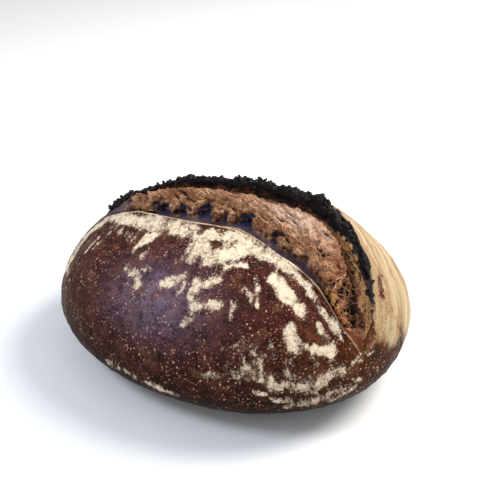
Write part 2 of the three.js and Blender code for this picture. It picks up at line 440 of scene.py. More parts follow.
def openness(x):
    """How open the cut is, from 0 past its ends to 1 along its middle."""
    return smooth(CUT_FAR, CUT_FAR + FAR_OPENING, x) * (1 - smooth(CUT_NEAR - NEAR_OPENING, CUT_NEAR, x))


def notch_depth(x, share):
    """How far the bloom sinks at the near end of the cut."""
    along = smooth(NOTCH_FROM, NOTCH_DEEPEST, x) * (1 - smooth(NOTCH_DEEPEST, CUT_NEAR, x))
    return NOTCH_DEPTH * along * np.sin(np.pi * np.clip(share / NOTCH_ACROSS, 0, 1)) ** 0.7


def placed_share(x, share):
    """The share of the opening where a station of the sections stands at x."""
    edge = line_at(BLOOM_EDGE, x)
    placed = np.where(share < EDGE, share * edge / EDGE, 1 - (1 - share) * (1 - edge) / (1 - EDGE))
    return np.where((share <= 0) | (share >= 1), share, placed)


def ear_teeth(x):
    """The ragged edge of the ear: how far it stands over its smooth line."""
    broad = along_noise(x, 13 * UNIT, 3)
    tall = 0.6 + 0.5 * along_noise(x, 8 * UNIT, 9)
    teeth = 2.2 * smooth(-0.12, 0.18, along_noise(x, 3.6 * UNIT, 5)) * tall
    chips = 0.9 * along_noise(x, 2.6 * UNIT, 8) + 0.4 * along_noise(x, 1.3 * UNIT, 7)
    knob = KNOB_HEIGHT * smooth(*KNOB_RISE, x) * (1 - smooth(*KNOB_END, x))
    fade = smooth(CUT_FAR, CUT_FAR + 8 * UNIT, x) * (1 - 0.85 * smooth(72 * UNIT, 98 * UNIT, x))
    return UNIT * (broad + teeth + chips + knob - 0.8) * fade


def lip_wave(x):
    """How the lip wanders, as an angle."""
    return 0.010 * along_noise(x, 16 * UNIT, 15) + 0.006 * along_noise(x, 6 * UNIT, 16)


def spread_section(section):
    """The section's shares, rises and heights at every station, run smoothly through its points."""
    table = np.array(section, float)
    counts = np.maximum(1, np.round(table[:, 3] * FINENESS)).astype(int)
    steps = np.concatenate([i + np.arange(n) / n for i, n in enumerate(counts[:-1])] + [[len(section) - 1]])
    knots = np.arange(len(section), dtype=float)
    return [line_at(np.column_stack([knots, table[:, k]]), steps) for k in range(3)]


def place_section(x, section):
    """Angles and heights off the body for a section at every x, as two grids."""
    share, up, height = (row[None, :] for row in section)
    ear, lip = cut_angles(x)
    folded = openness(x) ** EAR_CLOSING
    even = np.linspace(share.min(), share.max(), share.shape[1])[None, :]
    used = even + (placed_share(x, share) - even) * np.maximum(folded, 0.02)
    step = np.where(used < 0, np.maximum(lip - ear, LEAST_RAMP), lip - ear)
    rise = line_at(EAR_RISE, x) * folded
    sink = np.where(share > 0, (1 - up) * notch_depth(x, share), 0)
    return ear + used * step, up * rise + height * UNIT * openness(x) - sink


def on_body(x, angle, height):
    """Points at that height off the body."""
    plain = body_point(x, angle)
    off = height + swell(x, angle, plain[..., 2])
    return plain + body_normal(x, angle) * off[..., None]


def grid_normals(grid):
    """Outward normals of a grid of points, from the neighbours along and around it."""
    across = np.roll(grid, -1, axis=1) - np.roll(grid, 1, axis=1)
    along = np.gradient(grid, axis=0)
    return unit_vectors(np.cross(across, along))


# ---------------------------------------------------------------- meshes

def to_metres(points):
    """From the loaf's own millimetres to the frame, where the body stands in the solid's box."""
    return (points + BODY_SHIFT) / 1000


def add_object(name, data):
    placed = bpy.data.objects.new(name, data)
    bpy.context.scene.collection.objects.link(placed)
    return placed


def mesh_object(name, points, faces, masks, materials):
    """An object of its own from points in millimetres, with the masks as point attributes."""
    mesh = bpy.data.meshes.new(name)
    mesh.from_pydata(to_metres(points).tolist(), [], [tuple(face) for face in faces])
    for mask, values in masks.items():
        attribute = mesh.attributes.new(mask, "FLOAT", "POINT")
        attribute.data.foreach_set("value", np.asarray(values, dtype=np.float32))
    for material in materials:
        mesh.materials.append(material)
    mesh.polygons.foreach_set("use_smooth", np.ones(len(mesh.polygons), dtype=bool))
    mesh.update()
    return add_object(name, mesh)


def with_ends(masks):
    """The masks of a grid, each as one row, with a 0 for both end points of its tube."""
    return {key: np.append(np.ravel(value).astype(float), [0, 0]) for key, value in masks.items()}


def closed_tube(rings, start, end):
    """Points and faces of rings of points, closed by a fan of faces at each end."""
    count, around = rings.shape[:2]
    points = np.concatenate([rings.reshape(-1, 3), [start, end]])
    i, j = np.meshgrid(np.arange(count - 1), np.arange(around), indexing="ij")
    after = (j + 1) % around
    ring, next_ring = i * around, (i + 1) * around
    quads = np.stack([ring + j, ring + after, next_ring + after, next_ring + j], -1)
    around_once = np.arange(around)
    next_once = (around_once + 1) % around
    last = (count - 1) * around
    first_fan = np.stack([np.full(around, count * around), next_once, around_once], -1)
    last_fan = np.stack([np.full(around, count * around + 1), last + around_once, last + next_once], -1)
    return points, quads.reshape(-1, 4).tolist() + first_fan.tolist() + last_fan.tolist()


def flour_mask(points, strokes):
    """How thick the flour of the strokes lies at each point."""
    wander = np.stack([fractal(points, 11 * UNIT, 4, seed) for seed in (81, 85, 89)], axis=-1)
    points = points + FLOUR_WANDER * UNIT * wander
    mask = np.zeros(points.shape[:-1])
    for line, half_width, strength in strokes:
        places = np.array(line, float)
        steps = np.linspace(0, len(places) - 1, STROKE_STEPS * (len(places) - 1) + 1)
        x = np.interp(steps, np.arange(len(places)), places[:, 0]) * UNIT
        angle = np.radians(np.interp(steps, np.arange(len(places)), places[:, 1]))
        middle = body_point(x, angle)
        gap = np.min(np.linalg.norm(points[..., None, :] - middle, axis=-1), axis=-1)
        reach = half_width * UNIT
        mask = np.maximum(mask, strength * (1 - smooth(FLOUR_CORE * reach, FLOUR_FRINGE * reach, gap)))
    return mask * (1 + FLOUR_UNEVEN * fractal(points, 5 * UNIT, 3, 91))


def distance_from_ear(points):
    """How far each point lies from the line of the ear, in millimetres."""
    x = np.linspace(EAR_LINE[0, 0], EAR_LINE[-1, 0], 90)
    line = body_point(x, angle_at(x, line_at(EAR_LINE, x)))
    return np.min(np.linalg.norm(points[..., None, :] - line, axis=-1), axis=-1)


def crust_grid():
    """The crust's stations: x, angle, height off the body and share across the cut."""
    section = spread_section(RAMP + UNDER_BLOOM + LIP)
    steps = np.arange(1, CRUST_RINGS)
    x = (-LENGTH / 2 * np.cos(np.pi * steps / CRUST_RINGS))[:, None]
    angle, height = place_section(x, section)
    teeth = ear_teeth(x) * smooth(0.6, 1, section[1])[None, :]
    height = height + teeth - 0.3 * UNIT * smooth(0.8, 1, section[1])[None, :] * openness(x)
    start, end = -math.pi / 2, 3 * math.pi / 2
    back = start + (angle[:, :1] - start) * np.linspace(0, 1, BACK_STATIONS, endpoint=False)
    front = angle[:, -1:] + (end - angle[:, -1:]) * np.linspace(0, 1, FRONT_STATIONS + 1)[1:-1]
    angles = np.concatenate([back, angle, front], axis=1)
    heights = np.concatenate([np.zeros_like(back), height, np.zeros_like(front)], axis=1)
    shares = np.concatenate([np.full(back.shape[1], -9.0), section[0], np.full(front.shape[1], 9.0)])
    return np.broadcast_to(x, angles.shape), angles, heights, shares


def crust_masks(x, angle, share, plain, body):
    """Where each look of the crust lies, from 0 to about 1, but from_ear in millimetres."""
    shares = np.broadcast_to(share[None, :], x.shape)
    cut = smooth(CUT_FAR - 2, CUT_FAR + 10, x) * (1 - smooth(CUT_NEAR - 8, CUT_NEAR + 2, x))
    ragged = 0.04 * fractal(plain, 6 * UNIT, 3, 51)
    fade = 1 - 0.7 * smooth(80, 106, x / UNIT)
    char = smooth(-0.19, -0.12, shares + ragged) * (shares < 0.5) * cut * fade
    edge = bump(1.001, 0.013, shares) * cut * (1 - 0.6 * smooth(28, 52, x / UNIT))
    inside = (shares > -0.088) * (shares < 0.985) * cut
    flour = flour_mask(body, FLOUR)
    behind = np.clip(flour_mask(body, BACK_FLOUR) - flour_mask(body, BACK_BARE), 0, 1)
    y, z = body[..., 1], body[..., 2]
    warm = smooth(60, 115, x / UNIT) * smooth(-40, -75, y / UNIT + 0.4 * z / UNIT - 20)
    warm = np.maximum(warm, smooth(84, 112, x / UNIT) * (1 - smooth(60, 90, z / UNIT)))
    # Darker towards the floor: painted shade on the lower crust
    low = 1 - smooth(14, 72, z / UNIT)
    ear, lip = cut_angles(x[:, :1])
    past = smooth(98 * UNIT, 110 * UNIT, x) + 1 - smooth(-112 * UNIT, -104 * UNIT, x)
    back = 1 - smooth(-0.5 * past - 0.01, 0.01, angle - (ear + lip) / 2)
    # Painted sheen: the crust's front left is tinted cool violet, standing for the glint of the bluish sky
    # light
    painted_sheen = np.exp(-((x / UNIT + 12) / 36) ** 2 - ((angle - math.radians(143)) / math.radians(15)) ** 2)
    return {
        "char": char, "edge": edge, "inside": inside, "flour": flour * (1 - inside), "warm": warm,
        "low": low, "back": back, "painted_sheen": painted_sheen, "crease": flour_mask(body, CREASES),
        "behind": behind * (1 - inside), "from_ear": distance_from_ear(body),
    }


def make_crust(material):
    """The skin of the loaf, with the lip, the ear and the floor of the cut under the bloom."""
    x, angle, height, share = crust_grid()
    plain = on_body(x, angle, height)
    masks = crust_masks(x, angle, share, plain, body_point(x, angle))
    off_floor = smooth(1.5 * UNIT, 9 * UNIT, plain[..., 2])
    dough = 0.75 * fractal(plain, 34 * UNIT, 3, 21) + 0.22 * fractal(plain, 7 * UNIT, 2, 31)
    gap, number = cells_near(plain, 4.2 * UNIT, 41)
    blister = np.clip(0.42 - gap, 0, 1) * (number > 0.7) * 1.1
    off = (dough + blister - 1.3 * masks["crease"]) * UNIT * off_floor
    grid = plain + grid_normals(plain) * off[..., None]
    ends = [on_body(np.array(side * LENGTH / 2), np.array(0.0), np.array(0.0)) for side in (-1, 1)]
    points, faces = closed_tube(grid, *ends)
    return mesh_object("crust", points, faces, with_ends(masks), [material])


def bloom_shift(x, share):
    """Moves the bloom's stations across the cut so that its front edge is ragged, with hollows."""
    teeth = 0.03 * along_noise(x, 9 * UNIT, 61) + 0.035 * along_noise(x, 2.4 * UNIT, 62)
    uneven = x + 1.6 * UNIT * along_noise(x, 3 * UNIT, 63)
    hollow = sum(deep * bump(place * UNIT, 1.5 * half * UNIT, uneven) for place, half, deep in HOLLOWS)
    near = 1 - 0.8 * smooth(80 * UNIT, 100 * UNIT, x)
    weight = smooth(0.45, 0.78, share) * (1 - smooth(0.8, 0.9, share))
    return (teeth * near - hollow) * weight


def bloom_grid():
    """The bloom's stations: grids of points, of x, and of the share, rise and height they stand for."""
    top = spread_section(BLOOM_TOP)
    bottom = spread_section(BLOOM_BOTTOM)
    share, up, height = (np.concatenate(pair) for pair in zip(top, bottom))
    is_top = np.arange(len(share)) < len(top[0])
    x = np.linspace(CUT_FAR - 3 * UNIT, CUT_NEAR + 2 * UNIT, BLOOM_RINGS)[:, None]
    angle, off = place_section(x, (share, up, height))
    ear, lip = cut_angles(x)
    angle = angle + bloom_shift(x, share[None, :]) * (lip - ear) * is_top
    off = off + ear_teeth(x) * smooth(0.6, 1, up)[None, :]
    slope = (1 - up) * (1 - smooth(0.1, 0.62, share)) * (share > 0) * is_top
    off = off + line_at(BLOOM_CLIMB, x) * slope[None, :] * openness(x)
    sunk = bump(CUT_FAR - 3 * UNIT, 8 * UNIT, x) + bump(CUT_NEAR + 2 * UNIT, 7 * UNIT, x)
    off = off - 2.2 * UNIT * sunk
    off = off - UNDERSIDE_DEPTH * (1 - openness(x)) * ~is_top
    return on_body(np.broadcast_to(x, angle.shape), angle, off), x, share, up, is_top


def slanted(points, degrees):
    """The points in a frame turned about the upright axis, so that noise can run along that slant."""
    cos, sin = math.cos(math.radians(degrees)), math.sin(math.radians(degrees))
    x, y, z = np.moveaxis(points, -1, 0)
    return np.stack([x * cos + y * sin, y * cos - x * sin, z], axis=-1)


def torn_relief(bent, x, lumps, stretched):
    """How far the torn crumb stands out: lumps, fibres and pits."""
    along_fibres = ridged(slanted(bent, FIBRE_SLANT), np.array([20, 2.2, 4.5]) * UNIT, 3, 72)
    across_fibres = ridged(slanted(bent, RIB_SLANT), np.array([15, 1.9, 7]) * UNIT, 3, 71)
    fibres = (across_fibres * stretched + along_fibres * (1 - stretched)) ** 2 - 0.42
    gap, number = cells_near(slanted(bent, FIBRE_SLANT) / (3.2, 1, 1), 3 * UNIT, 74)
    pits = smooth(0.6, 0.3, gap) * (number > 0.84)
    far = 1 - smooth(-50 * UNIT, 10 * UNIT, x)
    return (0.75 - 0.2 * stretched + 0.4 * far) * lumps + (4.2 - 1.8 * far) * fibres - 1.6 * pits


def wall_relief(plain, x, ups, lumps, stretched):
    """How far the ear's inner face stands out: burnt blocks, then strings and caves near the end."""
    blocks, block_number = cells_near(plain, 5.5 * UNIT, 78)
    blocky = 2.8 * (block_number - 0.5) * smooth(0.75, 0.35, blocks)
    burnt = 1.1 * fractal(plain, 7 * UNIT, 3, 75) + blocky + 0.8 * fractal(plain, 2 * UNIT, 2, 84)
    climb = ups * line_at(EAR_RISE, x)
    wall_place = np.stack([x + 0.5 * climb, 2.2 * climb, 0.5 * UNIT + 0 * climb], axis=-1)
    strings = ridged(wall_place, np.array([11, 3.4, 9]) * UNIT, 3, 86)
    caves, cave_number = cells_near(wall_place, 7.5 * UNIT, 79)
    cave = smooth(0.5, 0.3, caves) * (cave_number > 0.3) * smooth(0.25, 0.5, ups)
    stringy = np.maximum(6 * (strings ** 2 - 0.5) + 0.8 * lumps - 3 * cave, -3)
    off = burnt * (1 - stretched) * 0.8 + stringy * stretched
    return off + 1.3 * fractal(plain, 2.4 * UNIT, 2, 88) * smooth(0.6, 0.85, ups) * stretched


def holes_and_groove(bent, x, shares):
    """Masks of the holes at the near end of the bloom and of the groove along the wall's foot."""
    holes, number = cells_near(slanted(bent, RIB_SLANT) / (1.7, 1, 1), 4.6 * UNIT, 87)
    behind_front = 1 - smooth(0.6, 0.7, shares)
    hole = smooth(0.5, 0.28, holes) * (number > 0.45) * smooth(*NEAR_END, x) * behind_front
    groove = smooth(*GROOVE_RISE, x) * (1 - smooth(*GROOVE_END, x)) * bump(*GROOVE_ACROSS, shares)
    return hole, groove


def bloom_masks(plain, x, shares, ups, wall, floor, low):
    """Where each look of the bloom lies, from 0 to 1."""
    near = x / UNIT
    patchy = fractal(plain, 6 * UNIT, 3, 76)
    char_from = line_at(CHAR_FROM, x)
    char = smooth(char_from - 0.12, char_from + 0.12, ups + 0.3 * patchy) * wall
    foot = (1 - smooth(0.02, 0.11, shares + 0.03 * patchy)) * (ups < 0.2) * (1 - smooth(66, 84, near))
    # Painted shade: dark blue in the hollows under the bloom's front edge
    hollow = sum(deep / 0.12 * bump(place * UNIT, 1.3 * half * UNIT, x) for place, half, deep in HOLLOWS)
    hollow = np.clip(hollow, 0, 1) * smooth(0.765, 0.8, shares) * (1 - smooth(0.82, 0.88, shares))
    # A rosy pale patch in the bloom's middle: partly the dough's own paler colour, partly a painted
    # highlight
    pale = bump(48, 46, near) * bump(0.36, 0.3, shares) * (1 - wall)
    front = smooth(0.66, 0.76, shares) * (1 - smooth(0.8, 0.84, shares))
    gold = smooth(74, 96, near) * (front + 0.5 * wall)
    amber = smooth(84, 100, near) * smooth(0.8, 0.86, shares)
    # The far end of the bloom takes the channel's colour, which is partly painted shade
    far_floor = (1 - smooth(-86, -66, near)) * smooth(0.1, 0.34, shares + 0.06 * patchy) * (1 - wall)
    # A pocket at the near end of the cut, which gets painted shade
    pocket = smooth(98, 106, near) * bump(0.36, 0.42, shares) * smooth(-0.5, 0.15, patchy)
    rim = smooth(0.5, 0.8, ups) * smooth(94, 103, near)
    # low holds painted shade: where the dough sinks in, its holes, the groove, the pocket, and a darker rim
    # of the wall near the end
    return {
        "char": np.maximum(char, 0.55 * foot), "hollow": hollow, "channel": np.maximum(floor, far_floor),
        "pale": pale, "gold": gold, "amber": amber,
        "low": np.maximum(np.maximum(low, 0.9 * pocket), 0.42 * rim),
        "wall": wall, "near": smooth(64, 88, near) + 0 * shares,
    }


def make_bloom(material):
    """The torn dough in the cut and the ear's inner face, with the grid that its crumbs lie on."""
    plain, x, share, up, is_top = bloom_grid()
    shares, ups = share[None, :] + 0 * x, up[None, :] + 0 * x
    wall = smooth(0.02, 0.2, ups)
    floor = smooth(0.79, 0.84, shares) * (1 - wall)
    crumb = smooth(0.04, 0.14, shares) * (1 - smooth(0.79, 0.83, shares)) * (1 - wall)
    stretched = smooth(*STRETCHED, x)
    bent = plain + 1.6 * UNIT * fractal(plain, 16 * UNIT, 2, 70)[..., None]
    lumps = fractal(plain, 9 * UNIT, 4, 73) + 0.5 * fractal(plain, 3.4 * UNIT, 3, 83)
    hole, groove = holes_and_groove(bent, x, shares)
    torn = torn_relief(bent, x, lumps, stretched) - 3 * hole - 4.5 * groove
    smooth_floor = 0.3 * fractal(plain, 5 * UNIT, 2, 77)
    off = torn * crumb + wall_relief(plain, x, ups, lumps, stretched) * wall + smooth_floor * floor
    off = off * is_top * smooth(0, 0.2, openness(x)) * UNIT
    grid = plain + grid_normals(plain) * off[..., None]
    points, faces = closed_tube(grid, grid[0].mean(0), grid[-1].mean(0))
    # Painted shade where the dough sinks in, and in its holes and groove
    low = np.maximum(np.clip(-off / UNIT / 1.6, 0, 1), is_top * (1 - wall) * np.maximum(groove, hole))
    masks = bloom_masks(plain, x, shares, ups, wall, floor, low)
    return mesh_object("bloom", points, faces, with_ends(masks), [material]), grid, shares, ups


def crumb_shape(size):
    """One angular burnt crumb: a small ball of faces knocked out of shape."""
    golden = (1 + math.sqrt(5)) / 2
    base = [
        (-1, golden, 0), (1, golden, 0), (-1, -golden, 0), (1, -golden, 0),
        (0, -1, golden), (0, 1, golden), (0, -1, -golden), (0, 1, -golden),
        (golden, 0, -1), (golden, 0, 1), (-golden, 0, -1), (-golden, 0, 1),
    ]
    corners = np.array(base) / math.hypot(1, golden)
    stretch = rng.uniform(0.55, 1.25, 3)
    return corners * stretch * rng.uniform(0.7, 1.25, (len(base), 1)) * size / 2


# The faces of that ball, by its corners
CRUMB_FACES = np.array([
    (0, 11, 5), (0, 5, 1), (0, 1, 7), (0, 7, 10), (0, 10, 11), (1, 5, 9), (5, 11, 4), (11, 10, 2),
    (10, 7, 6), (7, 1, 8), (3, 9, 4), (3, 4, 2), (3, 2, 6), (3, 6, 8), (3, 8, 9), (4, 9, 5), (2, 4, 11),
    (6, 2, 10), (8, 6, 7), (9, 8, 1),
])


def turned(points):
    """The points turned to a random side."""
    turn, _ = np.linalg.qr(rng.normal(size=(3, 3)))
    return points @ turn


def make_crumbs(material, grid, ups):
    """Burnt crumbs and shards along the edge and the inner face of the ear."""
    normals = grid_normals(grid)
    x = grid[..., 0]
    rings, stations = np.nonzero((ups > 0.25) & (x > CRUMB_RANGE[0]) & (x < CRUMB_RANGE[1]))
    weight = ups[rings, stations] ** 9
    chosen = rng.choice(len(rings), CRUMB_COUNT, replace=False, p=weight / weight.sum())
    points, faces = [], []
    for k, pick in enumerate(chosen):
        i, j = rings[pick], stations[pick]
        size = rng.choice(CRUMB_SIZES, p=CRUMB_SHARES) * UNIT
        points.append(turned(crumb_shape(size)) + grid[i, j] + normals[i, j] * 0.12 * size)
        faces.append(CRUMB_FACES + 12 * k)
    piece = mesh_object("burnt_crumbs", np.concatenate(points), np.concatenate(faces), {}, [material])
    piece.data.polygons.foreach_set("use_smooth", np.zeros(len(piece.data.polygons), dtype=bool))
    return piece


def thread(path, radius, sides=6):
    """A thin closed tube along the path, tapering at both ends."""
    along = unit_vectors(np.gradient(path, axis=0))
    first = unit_vectors(np.cross(along, THREAD_UP))
    second = np.cross(along, first)
    t = np.linspace(0, 1, len(path))
    width = radius * (0.35 + 0.65 * np.sin(np.pi * t))
    turn = np.linspace(0, 2 * math.pi, sides, endpoint=False)
    cos, sin = np.cos(turn)[None, :, None], np.sin(turn)[None, :, None]
    ring = first[:, None] * cos + second[:, None] * sin
    rings = path[:, None] + ring * width[:, None, None]
    return closed_tube(rings[:, ::-1], path[0], path[-1])


def make_threads(material, grid, shares, ups):
    """Threads of dough torn across the cut, some lying on the bloom and some bridging to the wall."""
    normals = grid_normals(grid)
    columns = np.arange(grid.shape[1])
    top = columns < np.argmax(shares[0])
    points, faces, shades, start = [], [], [], 0
    for count, span, reach, radius, length, lift in THREADS:
        for _ in range(count):
            x = rng.uniform(*reach) * UNIT
            i = int(np.argmin(np.abs(grid[:, 0, 0] - x)))
            a = rng.uniform(*span)
            b = a + rng.uniform(*length) * rng.choice([-1, 1])
            b = np.clip(b, 0.09 if x < 78 * UNIT else 0.03, 0.76)
            steps = np.linspace(0, 1, 9)
            want = a + (b - a) * steps
            slant = rng.normal(0, 11) * steps
            route = []
            for s, w in zip(slant, want):
                row = int(np.clip(i + s, 2, len(grid) - 3))
                gap = np.abs(shares[row] - w) + np.where(top & (ups[row] < 0.9), 0, 9)
                column = int(np.argmin(gap))
                route.append(grid[row, column] + normals[row, column] * 0.15 * UNIT)
            route = np.array(route)
            route[1:-1] = (route[:-2] + route[1:-1] + route[2:]) / 3
            high = lift * rng.uniform(0.2, 1.3) * UNIT * np.sin(np.pi * steps)
            route = route + np.array([0, 0, 1]) * high[:, None]
            if np.linalg.norm(route[-1] - route[0]) < 2 * UNIT:
                continue
            tube, tube_faces = thread(route, radius * rng.uniform(0.6, 1.5) * UNIT)
            points.append(tube)
            faces += [[corner + start for corner in face] for face in tube_faces]
            shades += [rng.uniform()] * len(tube)
            start += len(tube)
    return mesh_object("torn_threads", np.concatenate(points), faces, {"shade": shades}, [material])


def make_lip_curl(material):
    """The second, thin edge of crust that has peeled off the lip."""
    x = np.linspace(CURL_FROM, CURL_TO, 40) * UNIT
    ear, lip = cut_angles(x)
    t = np.linspace(0, 1, len(x))
    share = 0.968 + 0.02 * t - 0.01 * np.sin(np.pi * t)
    path = on_body(x, ear + share * (lip - ear), (0.5 + 1.1 * np.sin(np.pi * t)) * UNIT)
    points, faces = thread(path, CURL_RADIUS * UNIT, sides=8)
    return mesh_object("lip_curl", points, faces, {}, [material])


# ---------------------------------------------------------------- materials

class Nodes:
    """A short way to write a material's nodes."""

    def __init__(self, name):
        self.material = bpy.data.materials.new(name)
        self.material.use_nodes = True
        self.tree = self.material.node_tree
        self.shader = self.tree.nodes["Principled BSDF"]
        self.place = self.new("TexCoord", {}).outputs["Object"]

    def put(self, socket, value):
        """Links a socket to a node's output, or sets it to a value."""
        if isinstance(value, bpy.types.NodeSocket):
            self.tree.links.new(value, socket)
        else:
            socket.default_value = value

    def new(self, kind, inputs, **settings):
        """A new node with its settings and inputs."""
        node = self.tree.nodes.new("ShaderNode" + kind)
        for key, value in settings.items():
            setattr(node, key, value)
        for key, value in inputs.items():
            self.put(node.inputs[key], value)
        return node

    def mask(self, name):
        return self.new("Attribute", {}, attribute_name=name).outputs["Fac"]

    def noise(self, size, detail=4, roughness=0.6, stretch=(1, 1, 1)):
        """Noise from 0 to 1 whose lumps are about size millimetres across."""
        mapping = self.new("Mapping", {"Vector": self.place, "Scale": [1 / s for s in stretch]})
        look = {"Scale": 1000 / (size * UNIT), "Detail": detail, "Roughness": roughness}
        return self.new("TexNoise", {"Vector": mapping.outputs["Vector"], **look}).outputs["Fac"]

    def streaks(self, mask, across, along):
        """Noise drawn out along the loaf, where a mask holds the distance across it in millimetres."""
        apart = self.new("SeparateXYZ", {"Vector": self.place})
        joined = self.new("CombineXYZ", {
            "X": self.math("DIVIDE", self.mask(mask), across * UNIT),
            "Y": self.math("DIVIDE", apart.outputs["X"], along * UNIT / 1000),
        })
        look = {"Vector": joined.outputs["Vector"], "Scale": 1.0, "Detail": 5}
        return self.new("TexNoise", look).outputs["Fac"]

    def specks(self, size, fade, rare):
        """Specks about size millimetres apart: a mask of the rare ones, and how far each middle is."""
        node = self.new("TexVoronoi", {"Vector": self.place, "Scale": 1000 / (size * UNIT)})
        number = self.new("SeparateColor", {"Color": node.outputs["Color"]}).outputs["Red"]
        gap = node.outputs["Distance"]
        return self.times(self.step(gap, *fade, 1, 0), self.step(number, *rare)), gap

    def math(self, operation, a, b=0.0, clamp=False):
        return self.new("Math", {0: a, 1: b}, operation=operation, use_clamp=clamp).outputs["Value"]

    def plus(self, a, b):
        return self.math("ADD", a, b)

    def times(self, a, b):
        return self.math("MULTIPLY", a, b)

    def centred(self, value, strength):
        """How far a value lies from a half, times the strength."""
        return self.times(self.math("SUBTRACT", value, 0.5), strength)

    def step(self, value, low, high, start=0.0, end=1.0):
        """A soft step from start at low to end at high."""
        inputs = {"Value": value, "From Min": low, "From Max": high, "To Min": start, "To Max": end}
        return self.new("MapRange", inputs, interpolation_type="SMOOTHSTEP").outputs["Result"]

    def mix(self, share, a, b):
        """Colour a where share is 0, colour b where it is 1."""
        inputs = {"Factor": share, "A": colour(a), "B": colour(b)}
        return self.new("Mix", inputs, data_type="RGBA").outputs["Result"]

    def tones(self, value, low, high, pair):
        """The dark of a pair where the value is under low, its light where it is over high."""
        return self.mix(self.step(value, low, high), *pair)

    def blend(self, share, a, b):
        """The same as mix for two numbers."""
        return self.new("Mix", {0: share, 2: a, 3: b}, data_type="FLOAT").outputs[0]

    def surface(self, skin, rough, specular=0.5):
        """Gives the shader its colour, roughness and shine."""
        for key, value in (("Base Color", skin), ("Roughness", rough), ("Specular IOR Level", specular)):
            self.put(self.shader.inputs[key], value)

    def bump(self, height, distance):
        """Bump from a height of 0 to 1, where 1 stands for distance millimetres."""
        node = self.new("Bump", {"Distance": distance * UNIT / 1000, "Height": height})
        self.put(self.shader.inputs["Normal"], node.outputs["Normal"])


def colour(value):
    """A colour of 0 to 255 as the eye sees it, as the shader's linear one."""
    if isinstance(value, bpy.types.NodeSocket):
        return value
    share = np.array(value) / 255
    linear = np.where(share <= 0.04045, share / 12.92, ((share + 0.055) / 1.055) ** 2.4)
    return (*linear, 1.0)


# Colours of 0 to 255. A pair runs from the dark of a look to its light.
PLUM = (31, 12, 10), (77, 34, 27)
RUSSET = (28, 12, 4), (90, 42, 13)
# Painted sheen: the cool violet glint of the sky light on the crust
PAINTED_COOL_SHEEN = (124, 110, 132)
# Painted shade for the lower crust
PAINTED_LOW_SHADE = (16, 7, 3)
DUSTY = (122, 80, 58)
SPECK = (220, 170, 142)
# Pale blister tops: partly their own paler skin, partly painted highlights
WIDE_SPECK_AND_HIGHLIGHT = (190, 146, 122)
FLOUR_WHITE = (236, 217, 188)
FLOUR_GREY = (158, 132, 112)
# Painted shade in the creases
PAINTED_CREASE_SHADE = (44, 26, 22)
TOASTED = (126, 92, 62), (168, 136, 100)
CREAM = (154, 126, 92), (188, 171, 135)
INSIDE = (56, 40, 42), (92, 48, 22)
TAN_EDGE = (220, 188, 144)
BLACK = (15, 12, 12)
CRUST_SOOT = BLACK, (54, 40, 36)
BLOOM_SOOT = BLACK, (66, 46, 40)
CRUMB_SOOT = BLACK, (62, 48, 44)
TORN_BROWN = (140, 90, 60), (208, 160, 120)
TORN_DARK = (84, 48, 30)
# Rosy pale dough, partly a painted highlight
ROSY_AND_HIGHLIGHT = (116, 74, 56), (224, 192, 170)
STRETCHED_DOUGH = (68, 35, 22), (164, 106, 74)
HONEY = (150, 88, 40), (226, 170, 98)
# Painted shade in the torn dough's recesses
PAINTED_TORN_SHADE = (32, 16, 12)
# The channel floor's dark purple: partly its own colour, partly painted shade under the bloom's edge
CHANNEL_AND_SHADE = (58, 44, 55), (106, 83, 92)
AMBER = (70, 32, 14), (150, 84, 36)
# Painted shade, blue from the sky light, in the hollows under the bloom's edge
PAINTED_HOLLOW_SHADE = (10, 14, 28), (38, 56, 92)
WALL_DARK = (46, 25, 17), (102, 60, 40)
WALL_NEAR = (104, 60, 38), (216, 164, 110)
# Painted shade in the wall's recesses
PAINTED_WALL_SHADE = (30, 15, 11)
THREAD_DARK = (120, 74, 44)
THREAD_SHADES = (150, 100, 58), (232, 188, 128)
CURL_TAN = (150, 116, 84), (206, 176, 136)
PALE_FLOOR = (236, 236, 236), (240, 240, 240)


